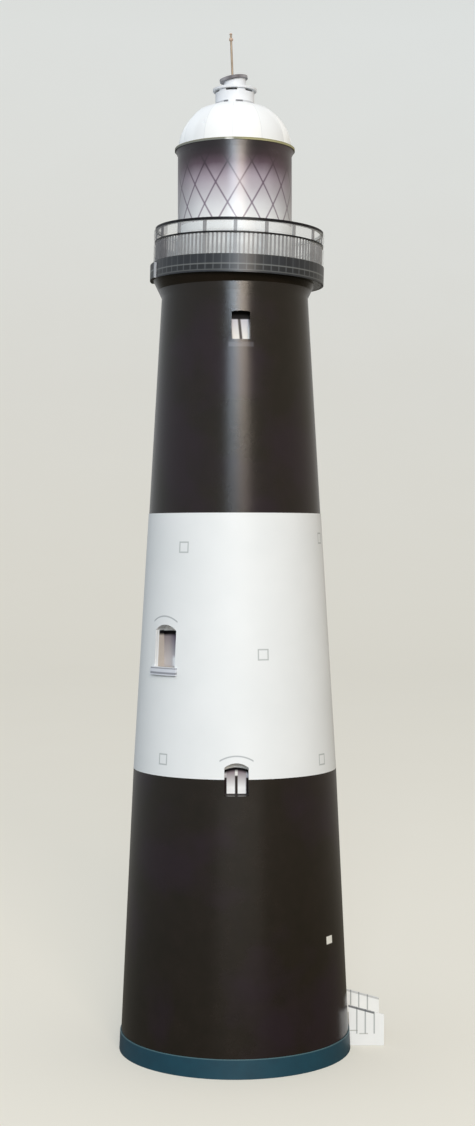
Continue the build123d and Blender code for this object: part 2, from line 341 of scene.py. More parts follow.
# The small boxes send a narrow beam each to the sides of the dome alone.
beam_size = (0.007, 0.006)
beam_level = 142.5 * mm
for name, turn, power, colour in (
    ("dome_box_left", -84, 0.000065, (0.95, 0.98, 1.0)),
    ("dome_box_right", 84, 0.000045, (1.0, 1.0, 0.98)),
):
    soft_box(name, turn, 28, 0.6, beam_size, power, colour, level=beam_level, spread=1.0)


# ---- Tower walls ----
# Three cones of thin printed card stand one on another, each rolled from a flat
# sheet and glued along an upright seam at the back. The upper and lower ones are
# printed satin black, the middle one white with small square vents drawn on it.
foot_radius = 18.4
low_joint = 45.0
low_joint_radius = 16.25
high_joint = 85.6
high_joint_radius = 13.8
neck = 120.0
neck_radius = 11.7
seam_turn = 180.0
seam_width = 1.6
twins_turn = 180.0
card_crease = 25

black_ink = (25, 21, 13)
black_mottle = (37, 29, 23)
black_patch = (38, 26, 36)
black_gloss = 0.37
upper_window_sheen = (4.6, 111.5, 3.9, 0.7)
black_vent = (57.5, 19.15, 1.7, 1.2)

white_ink = (242, 245, 246)
white_shade = (230, 234, 235)
vent_ink = (176, 182, 182)
vent_size = 1.55
vent_line = 0.2
white_vents = ((-33.7, 80.3), (16.8, 63.9), (72.5, 81.7), (-43.5, 47.6), (57.6, 47.2))
hood_ink = (150, 156, 160)
hood_line = 0.2
hoods = ((-47.2, 69.6, 5.5, 0.85), (1.0, 48.55, 5.2, 0.75))


def joined_copy(node, crease=card_crease):
    """A CAD node's shape as a shown piece, with its loose triangles joined and
    smooth except at creases."""
    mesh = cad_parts[node].data.copy()
    mesh.name = node + "_card"
    mesh.materials.clear()
    if "custom_normal" in mesh.attributes:
        mesh.attributes.remove(mesh.attributes["custom_normal"])
    work = bmesh.new()
    work.from_mesh(mesh)
    bmesh.ops.remove_doubles(work, verts=work.verts, dist=0.0002 * mm)
    for face in work.faces:
        face.smooth = True
    for edge in work.edges:
        edge.smooth = len(edge.link_faces) == 2 and edge.calc_face_angle() < radians(crease)
    work.to_mesh(mesh)
    work.free()
    piece = bpy.data.objects.new(node + "_card", mesh)
    bpy.context.scene.collection.objects.link(piece)
    return piece


def put(piece, node, material):
    """Gives a finished piece its material and its body, and hides the CAD node that it stands in
    for.
    """
    piece.data.materials.clear()
    piece.data.materials.append(material)
    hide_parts(node)
    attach(piece, "root")


def dress(node, material, crease=card_crease):
    """Shows a CAD node as it is, in a material."""
    put(joined_copy(node, crease), node, material)


def wall_radius(up):
    """The outer radius of the walls at a height, both in millimetres."""
    if up < low_joint:
        return foot_radius + (low_joint_radius - foot_radius) * up / low_joint
    if up < high_joint:
        share = (up - low_joint) / (high_joint - low_joint)
        return low_joint_radius + (high_joint_radius - low_joint_radius) * share
    share = (up - high_joint) / (neck - high_joint)
    return high_joint_radius + (neck_radius - high_joint_radius) * share


def glued_seam(finish):
    """The upright edge of the glued overlap at the back."""
    return finish.line(abs(finish.around), seam_turn, seam_width, 0.3)


def grain(finish, seam=0):
    """Fine fibre of card under its print."""
    fibre = finish.noise(9.0, 4.0, 0.6, (1, 1, 0.6))
    return fibre * 0.6 + finish.noise(1.1, 2.0) * 0.4 + seam


def off_window(finish, angle, up):
    """Millimetres round the wall and up from a place on it and on its twins."""
    round_wall = (finish.around - angle).wrapped(twins_turn / 2) * (pi / 180 * wall_radius(up))
    return round_wall, finish.up - up


def square_drawn(finish, across, rise):
    """A thin square outline centred on a place."""
    reach = abs(across).sum("MAXIMUM", abs(across), abs(rise))
    return finish.line(reach, vent_size / 2, vent_line, 0.08)


def drawn_block(finish, angle, up, width, height, soft):
    """A small plain block drawn on a wall at an angle and a height, for a printed vent or a patch
    of painted sheen.
    """
    across, rise = off_window(finish, angle, up)
    return finish.line(rise, 0, height, soft) * finish.line(across, 0, width, soft)


def hood_arc(finish, across, rise, width, height):
    """A thin printed arc standing over a window head."""
    radius = (width**2 / 4 + height**2) / (2 * height)
    low = rise + radius
    reach = across.sum("SQRT", across * across + low * low)
    inside = (width / 2 - abs(across)) > 0
    return finish.line(reach, radius, hood_line, 0.12) * inside * (low > 0)


black_card = Finish("black_printed_card", {"Specular IOR Level": black_gloss})
mottle = black_card.noise(0.35, 4.0, 0.65)
streak = black_card.noise(0.8, 3.0, 0.5, (1, 1, 0.15))
uneven = (mottle * 1.6 - 0.4).clamped() * 0.7 + streak * 0.2
black_colour = black_card.lay(uneven, ink(*black_ink), ink(*black_mottle))
patches = black_card.step(black_card.noise(0.06, 3.0), 0.56, 0.12)
black_colour = black_card.lay(patches * 0.6, black_colour, ink(*black_patch))
# A faint grey patch under the upper window is a painted highlight, the gloss of the wall running on
# down below it.
sheen_under_window = drawn_block(black_card, *upper_window_sheen, 0.2)
black_colour = black_card.lay(sheen_under_window * 0.4, black_colour, ink(104, 102, 108))
vent = drawn_block(black_card, *black_vent, 0.1)
black_colour = black_card.lay(vent, black_colour, ink(240, 240, 232))
black_card.bump(grain(black_card, glued_seam(black_card)), 0.25, 0.05)
black_card.finish(black_colour, 0.2 + mottle * 0.07)

white_card = Finish("white_printed_card", {"Specular IOR Level": 0.4})
white_cloud = white_card.noise(0.12, 3.0)
white_colour = white_card.lay(white_cloud, ink(*white_ink), ink(*white_shade))
for vent_angle, vent_up in white_vents:
    across, rise = off_window(white_card, vent_angle, vent_up)
    vent = square_drawn(white_card, across, rise)
    white_colour = white_card.lay(vent * 0.85, white_colour, ink(*vent_ink))
for hood_angle, hood_up, hood_width, hood_height in hoods:
    across, rise = off_window(white_card, hood_angle, hood_up)
    arc = hood_arc(white_card, across, rise, hood_width, hood_height)
    white_colour = white_card.lay(arc * 0.75, white_colour, ink(*hood_ink))
white_card.bump(grain(white_card, glued_seam(white_card)), 0.2, 0.05)
white_card.finish(white_colour, 0.42 + white_cloud * 0.1)

plain_card = Finish("plain_card", {"Specular IOR Level": 0.3})
plain_cloud = plain_card.noise(0.5, 3.0)
plain_card.bump(grain(plain_card), 0.3, 0.06)
plain_card.finish(plain_card.lay(plain_cloud, ink(226, 224, 216), ink(212, 208, 198)), 0.8)

dress("base_disc", plain_card.material)
dress("lower_wall", black_card.material)
dress("middle_wall", white_card.material)
dress("upper_wall", black_card.material)

# ---- Foot band ----
# A strip of teal printed paper is wrapped round the foot of the tower and glued,
# with its upper edge left as a thin line of bare pale paper.
band_height = 3.0
bare_width = 0.12
teal_ink = (24, 72, 88)
teal_deep = (18, 55, 70)
bare_ink = (78, 110, 118)

teal_band = Finish("teal_printed_paper", {"Specular IOR Level": 0.4})
teal_cloud = teal_band.noise(0.4, 4.0, 0.6)
teal_colour = teal_band.lay(teal_cloud, ink(*teal_ink), ink(*teal_deep))
bare_edge = teal_band.step(teal_band.up, band_height - bare_width, 0.06)
teal_colour = teal_band.lay(bare_edge, teal_colour, ink(*bare_ink))
teal_band.bump(grain(teal_band, glued_seam(teal_band)), 0.2, 0.05)
dress("plinth_band", teal_band.finish(teal_colour, 0.45 + teal_cloud * 0.1))

# ---- Windows ----
# Each window is a hole cut in the wall, lined with a folded strip of card and
# closed at the back by a card that has the frame and two panes printed on it,
# with painted shade dark under the head and paler at the sill. Each has a twin on the far side.
upper_angle, upper_sill = 4.6, 112.3
middle_angle, middle_sill = -46.3, 61.7
lower_angle, lower_sill = 1.0, 42.5

pane_gloss = 0.06
shadow_ink = (14, 12, 14)


def pane_print(name, angle, sill):
    """A window's card, with millimetres across it and up from its sill. Both
    twins read alike, as each is seen from outside."""
    finish = Finish(name, {"Specular IOR Level": pane_gloss})
    turn = radians(angle)
    along = finish.x * cos(turn) + finish.y * sin(turn)
    outward = finish.x * sin(turn) - finish.y * cos(turn)
    facing = outward.sum("SIGN", outward)
    return finish, along * facing, finish.up - sill


def finish_pane(finish, colour):
    """Closes a window's card with its grain and the sheen of its print."""
    finish.bump(grain(finish), 0.15, 0.04)
    finish.finish(colour, 0.3 + finish.noise(0.8) * 0.1)


# The upper one has two slanting panes, greyer towards the top with painted shade, under a deep
# painted shadow.
pane_slant = 0.1
pane_shift = 0.18
pane_head = 3.3
upper_shadow = 3.25
left_pane = (-0.74, 1.12)
right_pane = (0.86, 1.22)

upper_pane, across, rise = pane_print("upper_window_print", upper_angle, upper_sill)
slanted = across + pane_shift - (pane_head - rise) * pane_slant
panes = upper_pane.line(slanted, *left_pane, 0.16) + upper_pane.line(slanted, *right_pane, 0.16)
colour = upper_pane.lay(upper_pane.step(rise, 2.0, 3.0), ink(252, 250, 244), ink(214, 212, 222))
colour = upper_pane.lay(panes.clamped(), ink(92, 88, 86), colour)
colour = upper_pane.lay(upper_pane.step(rise, upper_shadow, 0.15), colour, ink(*shadow_ink))
finish_pane(upper_pane, colour)

# The middle one darkens upward with painted shade, has a pale beige strip at its left, the painted
# shade of its jamb, and a bright spot low down, under a painted shadow and a white head.
jamb_strip_edge = 0.3
bright_across = (0.3, 1.2)
bright_rise = (0.8, 1.5)
middle_shadow = 4.95
middle_head = 5.65

middle_pane, across, rise = pane_print("middle_window_print", middle_angle, middle_sill)
upward_shade = middle_pane.step(rise, 3.0, 3.8)
colour = middle_pane.lay(upward_shade, ink(190, 188, 194), ink(84, 72, 98))
shaded_jamb_strip = middle_pane.step(0 - across, jamb_strip_edge, 1.6)
colour = middle_pane.lay(shaded_jamb_strip * 0.4, colour, ink(204, 194, 184))
bright = middle_pane.line(across, *bright_across, 0.6) * middle_pane.line(rise, *bright_rise, 0.6)
colour = middle_pane.lay(bright, colour, ink(246, 248, 250))
arched = rise + across * across * 0.02
colour = middle_pane.lay(middle_pane.step(arched, middle_shadow, 0.4), colour, ink(*shadow_ink))
colour = middle_pane.lay(middle_pane.step(arched, middle_head, 0.15), colour, ink(250, 251, 250))
finish_pane(middle_pane, colour)

# The lower one darkens upward with painted shade and has a bar up its middle and a frame, dark
# below and pale above, with a painted shadow, a white head and a grey painted shadow line over them
# and a dark line at its foot.
lower_bar = 0.42
frame_from = 1.48
bar_turns_pale = 2.9
frame_turns_pale = 2.6
lower_shadow = 3.65
lower_head = 4.2
lower_shadow_line = 4.85
lower_foot_line = 0.15

lower_pane, across, rise = pane_print("lower_window_print", lower_angle, lower_sill)
middle_bar = lower_pane.line(across, 0.0, lower_bar, 0.12)
frame_side = lower_pane.step(abs(across), frame_from, 0.12)
colour = lower_pane.lay(lower_pane.step(rise, 2.4, 2.6), ink(250, 251, 251), ink(128, 112, 120))
above = lower_pane.step(rise, bar_turns_pale, 0.2)
bar_colour = lower_pane.lay(above, ink(52, 46, 44), ink(240, 240, 238))
colour = lower_pane.lay(middle_bar, colour, bar_colour)
above = lower_pane.step(rise, frame_turns_pale, 0.2)
side_colour = lower_pane.lay(above, ink(40, 32, 32), ink(196, 194, 198))
colour = lower_pane.lay(frame_side, colour, side_colour)
arched = rise + across * across * 0.12
colour = lower_pane.lay(lower_pane.step(arched, lower_shadow, 0.4), colour, ink(*shadow_ink))
colour = lower_pane.lay(lower_pane.step(arched, lower_head, 0.15), colour, ink(250, 250, 248))
colour = lower_pane.lay(lower_pane.step(arched, lower_shadow_line, 0.15), colour, ink(140, 122, 124))
foot = lower_pane.step(0 - rise, -lower_foot_line, 0.1)
colour = lower_pane.lay(foot, colour, ink(70, 66, 66))
finish_pane(lower_pane, colour)

# The lower window crosses the joint, so its lining is white above and black below.
split_level = low_joint + 0.4

split_lining = Finish("split_lining_card", {"Specular IOR Level": 0.4})
upper_part = split_lining.step(split_lining.up, split_level, 0.15)
split_colour = split_lining.lay(upper_part, ink(*black_mottle), ink(*white_ink))
split_lining.bump(grain(split_lining), 0.2, 0.05)
split_lining.finish(split_colour, 0.5)

# The middle window's lining is white at the wall's face and painted a shaded beige behind it, where
# its white card lies in shade, and the painted shadow and the white head of its card run on round
# it.
white_lip = 0.7
shaded_lining_beige = (202, 194, 186)
lining_shade = (182, 173, 162)

middle_lining = Finish("middle_window_lining", {"Specular IOR Level": 0.3})
rise = middle_lining.up - middle_sill
from_axis = middle_lining.x.sum(
    "SQRT", middle_lining.x * middle_lining.x + middle_lining.y * middle_lining.y
)
wall_slope = (low_joint_radius - high_joint_radius) / (high_joint - low_joint)
depth = low_joint_radius - (middle_lining.up - low_joint) * wall_slope - from_axis
colour = middle_lining.lay(middle_lining.noise(0.5), ink(*shaded_lining_beige), ink(*lining_shade))
colour = middle_lining.lay(middle_lining.step(rise, middle_shadow, 0.4), colour, ink(*shadow_ink))
colour = middle_lining.lay(middle_lining.step(rise, middle_head, 0.15), colour, ink(*white_ink))
colour = middle_lining.lay(middle_lining.step(0 - depth, -white_lip, 0.12), colour, ink(*white_ink))
middle_lining.bump(grain(middle_lining), 0.25, 0.05)
middle_lining.finish(colour, 0.6)

for side in ("front", "back"):
    dress(f"upper_{side}_window_reveal", black_card.material)
    dress(f"upper_{side}_window_pane", upper_pane.material)
    dress(f"middle_{side}_window_reveal", middle_lining.material)
    dress(f"middle_{side}_window_pane", middle_pane.material)
    dress(f"lower_{side}_window_reveal", split_lining.material)
    dress(f"lower_{side}_window_pane", lower_pane.material)

# ---- Window sills ----
# A folded strip of white card stands proud under each middle window, with a dark
# line printed along its top and a painted shadow line along its foot.
sill_height = 1.2
top_line = (1.08, 0.16)
foot_line = (0.34, 0.3)

sill_card = Finish("sill_card", {"Specular IOR Level": 0.4})
rise = sill_card.up - (middle_sill - sill_height)
top_and_shadow_lines = sill_card.line(rise, *top_line, 0.1) + sill_card.line(rise, *foot_line, 0.12)
colour = sill_card.lay(sill_card.noise(0.6), ink(226, 230, 236), ink(208, 212, 222))
colour = sill_card.lay(top_and_shadow_lines.clamped() * 0.75, colour, ink(112, 114, 124))
sill_card.bump(grain(sill_card), 0.2, 0.05)
sill_card.finish(colour, 0.5)
for side in ("front", "back"):
    dress(f"middle_{side}_window_sill", sill_card.material)

# ---- Door ----
# The doorway at the head of the steps is cut and lined like a window with white card painted a
# shaded beige, and closed by a card with a boarded teal door, its rails and two straps printed on
# it.
door_turn = 107.39
door_foot = 2.6
board_width = 0.46
board_gap = 0.09
rail_width = 0.7
rail_rises = (1.3, 6.6)
strap_width = 0.2
strap_rises = (2.7, 5.4)

shaded_card = Finish("white_lining_card", {"Specular IOR Level": 0.3})
shaded_cloud = shaded_card.noise(0.5)
shaded_card.bump(grain(shaded_card), 0.25, 0.05)
shaded_card.finish(shaded_card.lay(shaded_cloud, ink(208, 200, 190), ink(192, 183, 170)), 0.6)

door_print = Finish("door_print", {"Specular IOR Level": 0.5})
turn = radians(door_turn)
along = door_print.x * cos(turn) + door_print.y * sin(turn)
rise = door_print.up - door_foot
board = door_print.line(along.wrapped(board_width), 0.0, board_gap, 0.05)
low_rail, high_rail = (door_print.line(rise, at, rail_width, 0.08) for at in rail_rises)
low_strap, high_strap = (door_print.line(rise, at, strap_width, 0.06) for at in strap_rises)
boards = door_print.noise(1.2, 4.0, 0.6, (1, 1, 0.1))
leaf = door_print.lay(boards, ink(46, 82, 84), ink(30, 62, 66))
leaf = door_print.lay(board * 0.8, leaf, ink(14, 30, 34))
leaf = door_print.lay((low_rail + high_rail).clamped() * 0.5, leaf, ink(60, 98, 100))
leaf = door_print.lay((low_strap + high_strap).clamped() * 0.85, leaf, ink(22, 22, 22))
door_print.bump(grain(door_print) - board * 0.3, 0.2, 0.05)
door_print.finish(leaf, 0.4 + door_print.noise(0.8) * 0.1)
dress("door_reveal", shaded_card.material)
dress("door_leaf", door_print.material)

# ---- Gallery ----
# A flared black corbel carries a drum of two discs and a printed strip, glued on
# slightly off the axis and leaning a little. The strip shows plating above a row
# of small blocks, and its end laps over its start as a raised flap on the left.
gallery_offset = 0.5
gallery_lean = 1.6
gallery_level = 122.4
fascia_height = 2.8
gallery_radius = 13.7
flap_angle = -85.0
flap_span = 30.0
flap_end_strip = 1.0
block_pitch = 1.3
block_joint = 0.16
block_middle = 0.78
block_height = 0.75
blocks_top = (1.25, 0.16)
blocks_foot = (0.32, 0.14)
plating_foot = 1.3
flap_joint = 0.2
flap_block_height = 0.7
flap_line = (1.25, 0.2)
cut_edge = 0.05
corbel_fold = 1.2
fold_softening = 0.6

fascia_ink = (50, 54, 60)
fascia_dark = (28, 30, 34)
flap_ink = (88, 88, 90)
flap_dark = (56, 56, 56)
pale_line = (158, 162, 160)


def on_gallery(finish):
    """Degrees round the gallery and millimetres up from its underside, both in
    its own leaning place."""
    lean = radians(gallery_lean)
    x = finish.x - gallery_offset
    z = finish.up - gallery_level
    level_x = x * cos(lean) - z * sin(lean)
    rise = x * sin(lean) + z * cos(lean)
    return level_x.sum("ARCTAN2", level_x, 0 - finish.y) * degrees(1), rise


def plated(finish, dark, light):
    """The gallery strip's upright plating, as its cloud and its colour."""
    plating = finish.noise(1.0, 3.0, 0.6, (1, 1, 0.1))
    return plating, finish.lay(plating * 1.3 - 0.15, ink(*dark), ink(*light))


fascia = Finish("gallery_fascia_print", {"Specular IOR Level": 0.5})
around, rise = on_gallery(fascia)
run = around * (pi / 180 * gallery_radius)
plating, colour = plated(fascia, fascia_dark, fascia_ink)
joint = fascia.line(run.wrapped(block_pitch / 2), 0.0, block_joint, 0.1)
plates = joint * fascia.step(rise, plating_foot, 0.1)
colour = fascia.lay(plates * 0.25, colour, ink(120, 124, 126))
block_row = fascia.line(rise, block_middle, block_height, 0.12)
colour = fascia.lay(block_row * 0.6, colour, ink(30, 32, 34))
colour = fascia.lay(block_row * joint * 0.5, colour, ink(116, 120, 124))
lines = fascia.line(rise, *blocks_top, 0.12) + fascia.line(rise, *blocks_foot, 0.12) * 0.6
colour = fascia.lay(lines.clamped() * 0.42, colour, ink(*pale_line))
cut_top = fascia.step(rise, fascia_height - cut_edge, 0.04)
colour = fascia.lay(cut_top * 0.6, colour, ink(96, 96, 92))
fascia.bump(grain(fascia) + lines * 0.3, 0.2, 0.05)
fascia.finish(colour, 0.3 + plating * 0.12)

flap = Finish("gallery_flap_print", {"Specular IOR Level": 0.5})
around, rise = on_gallery(flap)
run = around * (pi / 180 * gallery_radius)
plating, colour = plated(flap, flap_dark, flap_ink)
blocks = flap.line(run.wrapped(block_pitch / 2), 0.0, flap_joint, 0.12)
blocks = blocks * flap.line(rise, block_middle, flap_block_height, 0.1)
colour = flap.lay(blocks * 0.6, colour, ink(124, 126, 130))
colour = flap.lay(flap.line(rise, *flap_line, 0.12) * 0.7, colour, ink(*pale_line))
strip_start = flap_angle + flap_span / 2 - flap_end_strip
colour = flap.lay(flap.step(around, strip_start, 0.3), colour, ink(168, 172, 178))
flap.bump(grain(flap), 0.2, 0.05)
flap.finish(colour, 0.5 + plating * 0.1)

# The fold between wall and flare is soft, so the gloss of the wall runs on up it.
corbel_card = Finish("black_corbel_card", {"Specular IOR Level": black_gloss})
flare = corbel_card.up - neck
past_fold = flare - corbel_fold
rounded = flare - past_fold.sum("MAXIMUM", past_fold, 0)
corbel_card.bump(grain(corbel_card) * 0.0125 - rounded * fold_softening, 1.0, 1.0)
corbel_mottle = corbel_card.noise(0.35, 4.0, 0.65)
corbel_colour = corbel_card.lay(corbel_mottle, ink(*black_ink), ink(*black_mottle))
corbel_card.finish(corbel_colour, 0.2 + corbel_mottle * 0.07)

deck_card = Finish("gallery_deck_card", {"Specular IOR Level": 0.3})
deck_cloud = deck_card.noise(0.4, 4.0)
deck_card.bump(grain(deck_card), 0.3, 0.06)
deck_card.finish(deck_card.lay(deck_cloud, ink(150, 150, 146), ink(128, 128, 122)), 0.75)

dress("gallery_corbel", corbel_card.material)
dress("gallery_soffit", black_card.material)
dress("gallery_fascia", fascia.material)
dress("gallery_deck", deck_card.material)
dress("fascia_flap", flap.material)

# ---- Gallery railing ----
# A clear film stands round the deck. Grey posts and thin bars of card strip stand on
# it, crossed by a flat mid rail and closed by a thick black top rail. They are set
# round a circle in even steps and are printed on their outer side only.
post_count = 17
post_start = -2.5
post_size = (0.25, 0.55, 5.15)
post_middle = 13.205
bars_per_bay = 6
bar_size = (0.15, 0.28, 3.46)
bar_middle = 13.255
mid_rail_rise = 3.33
mid_rail_clear = 0.5
edge_round = 0.03
bare_paper = (228, 230, 226)
rail_outer_face = 0.5
post_inner_face = -0.5
film_clear = 0.14
film_overlap_turn = 55.5
overlap_ink = (112, 108, 112)


def strip_ring(name, material):
    """A tree that stands upright strips of card round a circle."""
    tree = bpy.data.node_groups.new(name, "GeometryNodeTree")
    for label, kind in (
        ("Count", "NodeSocketInt"),
        ("Circle", "NodeSocketFloat"),
        ("Start", "NodeSocketFloat"),
        ("Thickness", "NodeSocketFloat"),
        ("Width", "NodeSocketFloat"),
        ("Height", "NodeSocketFloat"),
        ("Lean", "NodeSocketFloat"),
        ("Across", "NodeSocketFloat"),
        ("Level", "NodeSocketFloat"),
    ):
        tree.interface.new_socket(label, in_out="INPUT", socket_type=kind)
    tree.interface.new_socket("Geometry", in_out="OUTPUT", socket_type="NodeSocketGeometry")
    bench = Bench(tree)
    given = bench.node("NodeGroupInput", {}, {}).socket.node.outputs
    size = {socket.name: Reading(bench, socket) for socket in given if socket.name}
    ring = bench.node(
        "GeometryNodeMeshCircle", {}, {"Vertices": size["Count"], "Radius": size["Circle"]}
    )
    block_size = bench.node(
        "ShaderNodeCombineXYZ", {}, {0: size["Thickness"], 1: size["Width"], 2: size["Height"]}
    )
    block = bench.node("GeometryNodeMeshCube", {}, {"Size": block_size})
    lift = bench.node("ShaderNodeCombineXYZ", {}, {2: size["Height"] * 0.5})
    strip = bench.node("GeometryNodeTransform", {}, {"Geometry": block, "Translation": lift})
    place = bench.node("GeometryNodeInputPosition", {}, {})
    outward = bench.node("FunctionNodeAlignRotationToVector", {"axis": "X"}, {"Vector": place})
    standing = bench.node(
        "GeometryNodeInstanceOnPoints",
        {},
        {"Points": ring, "Instance": strip, "Rotation": outward},
    )
    start = bench.node("ShaderNodeCombineXYZ", {}, {2: size["Start"]})
    turned = bench.node("GeometryNodeTransform", {}, {"Geometry": standing, "Rotation": start})
    shift = bench.node("ShaderNodeCombineXYZ", {}, {0: size["Across"], 2: size["Level"]})
    lean = bench.node("ShaderNodeCombineXYZ", {}, {1: size["Lean"]})
    leaning = bench.node(
        "GeometryNodeTransform", {}, {"Geometry": turned, "Translation": shift, "Rotation": lean}
    )
    real = bench.node("GeometryNodeRealizeInstances", {}, {"Geometry": leaning})
    coloured = bench.node("GeometryNodeSetMaterial", {}, {"Geometry": real, "Material": material})
    bench.node("NodeGroupOutput", {}, {0: coloured})
    return tree


def grown(name, tree, sizes):
    """The plain mesh that a tree gives for its named sizes, as a new piece."""
    seed = bpy.data.objects.new(name + "_seed", bpy.data.meshes.new(name + "_seed"))
    bpy.context.scene.collection.objects.link(seed)
    grower = seed.modifiers.new("grower", "NODES")
    grower.node_group = tree
    for item in tree.interface.items_tree:
        if item.in_out == "INPUT":
            grower[item.identifier] = sizes[item.name]
    ready = seed.evaluated_get(bpy.context.evaluated_depsgraph_get())
    mesh = bpy.data.meshes.new_from_object(ready)
    mesh.name = name
    bpy.data.objects.remove(seed)
    piece = bpy.data.objects.new(name, mesh)
    bpy.context.scene.collection.objects.link(piece)
    return piece


def bare_inside(finish, colour, limit):
    """Leaves the paper bare on faces that look outward by less than a limit."""
    kind = "ShaderNodeVectorMath"
    face = finish.node("ShaderNodeTexCoord", {}, {}, "Normal")
    level = finish.node(kind, {"operation": "MULTIPLY"}, {0: finish.place, 1: (1, 1, 0)})
    outward = finish.node(kind, {"operation": "NORMALIZE"}, {0: level})
    turned_out = finish.node(kind, {"operation": "DOT_PRODUCT"}, {0: face, 1: outward}, "Value")
    return finish.lay(turned_out < limit, colour, ink(*bare_paper))


rail_black = Finish("black_rail_card", {"Specular IOR Level": 0.25})
rail_cloud = rail_black.noise(0.8)
rail_black.bump(grain(rail_black), 0.2, 0.04)
rail_colour = rail_black.lay(rail_cloud, ink(8, 8, 13), ink(20, 19, 24))
rail_colour = bare_inside(rail_black, rail_colour, rail_outer_face)
rail_black.finish(rail_colour, 0.4 + rail_cloud * 0.1)

rail_grey = Finish("grey_rail_card", {"Specular IOR Level": 0.4})
rail_shade = rail_grey.noise(0.45, 2.0)
rail_grey.bump(grain(rail_grey), 0.2, 0.04)
rail_colour = rail_grey.lay(rail_shade * 1.6 - 0.3, ink(112, 112, 114), ink(146, 146, 148))
rail_grey.finish(bare_inside(rail_grey, rail_colour, post_inner_face), 0.5)

lean = radians(gallery_lean)
deck_across = gallery_offset + fascia_height * sin(lean)
deck_level = gallery_level + fascia_height * cos(lean)
strips = strip_ring("upright_strips", rail_grey.material)


def strip_sizes(count, middle, size):
    """What the tree is told for a ring of strips of one size, standing on the deck."""
    thickness, width, height = size
    return {
        "Count": count,
        "Circle": middle * mm,
        "Start": radians(post_start - 90),
        "Thickness": thickness * mm,
        "Width": width * mm,
        "Height": height * mm,
        "Lean": lean,
        "Across": deck_across * mm,
        "Level": deck_level * mm,
    }


posts = grown("gallery_post_strips", strips, strip_sizes(post_count, post_middle, post_size))
rounding = posts.modifiers.new("cut_edges", "BEVEL")
rounding.width = edge_round * mm
rounding.segments = 1
put(posts, "gallery_posts", rail_grey.material)

# The bars are set out evenly, and one that falls on a post is left out.
every_bar = post_count * (bars_per_bay + 1)
bars = grown("gallery_bar_strips", strips, strip_sizes(every_bar, bar_middle, bar_size))
thinning = bmesh.new()
thinning.from_mesh(bars.data)
corners = 8
on_post = [v for i, v in enumerate(thinning.verts) if (i // corners) % (bars_per_bay + 1) == 0]
bmesh.ops.delete(thinning, geom=on_post, context="VERTS")
thinning.to_mesh(bars.data)
thinning.free()
put(bars, "gallery_balusters", rail_grey.material)

# The film's two ends overlap at the left, where it is darker, and its print leaves it
# wholly clear behind the mid rail.
film = Finish("clear_railing_film", {"Specular IOR Level": 1.0})
film_haze = film.noise(0.25, 3.0)
film_around, film_rise = on_gallery(film)
overlap = film.step(0 - film_around, film_overlap_turn, 0.6)
film_tone = film.lay(film_haze, ink(226, 228, 230), ink(196, 198, 200))
film_tone = film.lay(overlap, film_tone, ink(*overlap_ink))
open_line = 1 - film.line(film_rise - fascia_height, mid_rail_rise, mid_rail_clear, 0.1)
film.wire(film.surface.inputs["Alpha"], (film_clear + overlap * 0.16) * open_line)
film.bump(film_haze, 0.1, 0.05)
film.finish(film_tone, 0.16 + film_haze * 0.14)
dress("railing_film", film.material)

dress("gallery_mid_rail", rail_black.material)
dress("gallery_top_rail", rail_black.material)

# ---- Lantern ----
# A cylinder of white card carries a printed band of glazing, dark under the eave
# and pale below, crossed by a lattice of thin bars. It flares to a dark cornice
# and is closed by a disc of white card that stands a little proud.
murette_top = 131.2
glazing_top = 142.7
eave_level = 143.5
lattice_turn = 24.0
lattice_start = -7.0
lattice_level = 140.25
lattice_rise = 6.4
bar_width = 0.46
bar_softness = 0.32
bar_ink = (155, 141, 155)
lattice_fade = 0.83
flare_softening = 0.5
side_shade_ink = (52, 38, 44)
right_shade_ink = (84, 66, 74)

glazing = Finish("glazing_print", {"Specular IOR Level": 0.68})
height = (glazing.up - murette_top) / (glazing_top - murette_top)
cloud = glazing.noise(0.35, 3.0)
tone = glazing.node(
    "ShaderNodeValToRGB",
    {
        "stops": [
            (0.0, ink(232, 234, 235)),
            (0.2, ink(217, 218, 222)),
            (0.58, ink(166, 155, 167)),
            (0.78, ink(86, 68, 81)),
            (0.9, ink(40, 22, 32)),
            (1.0, ink(20, 6, 14)),
        ]
    },
    {0: height + cloud * 0.12 - 0.06},
)
turns = (glazing.around - lattice_start) / lattice_turn
rises = (glazing.up - lattice_level) / lattice_rise
width, soft = bar_width / lattice_rise, bar_softness / lattice_rise
lattice = glazing.line((turns + rises).wrapped(0.5), 0.0, width, soft)
lattice = lattice + glazing.line((turns - rises).wrapped(0.5), 0.0, width, soft)
fading = 1 - glazing.step(height, lattice_fade, 0.2) * 0.8
colour = glazing.node(
    "ShaderNodeMix",
    {"data_type": "RGBA", "blend_type": "MULTIPLY"},
    {0: lattice.clamped() * fading, 6: tone, 7: ink(*bar_ink)},
    2,
)
# Front and back are printed alike, and painted shade darkens them towards their sides, more on the
# right and higher up.
side = glazing.around.wrapped(90.0)
colour = glazing.lay(glazing.step(abs(side), 56.0, 40.0) * 0.4, colour, ink(*side_shade_ink))
colour = glazing.lay(glazing.step(side, 32.0, 20.0) * height * 0.3, colour, ink(*right_shade_ink))
# The fold at the cornice is soft, so the print's gloss runs on over it.
flare = glazing.up - glazing_top
softened = flare.sum("MAXIMUM", flare, 0) * flare_softening
glazing.bump(grain(glazing, glued_seam(glazing)) * 0.006 - softened, 1.0, 1.0)
glazing.finish(colour, 0.27 + cloud * 0.08)

# The disc's cut rim is painted grey with shade at the left and is olive at the right, with one bare
# spot.
bare_spot = (-5.0, 7.0)

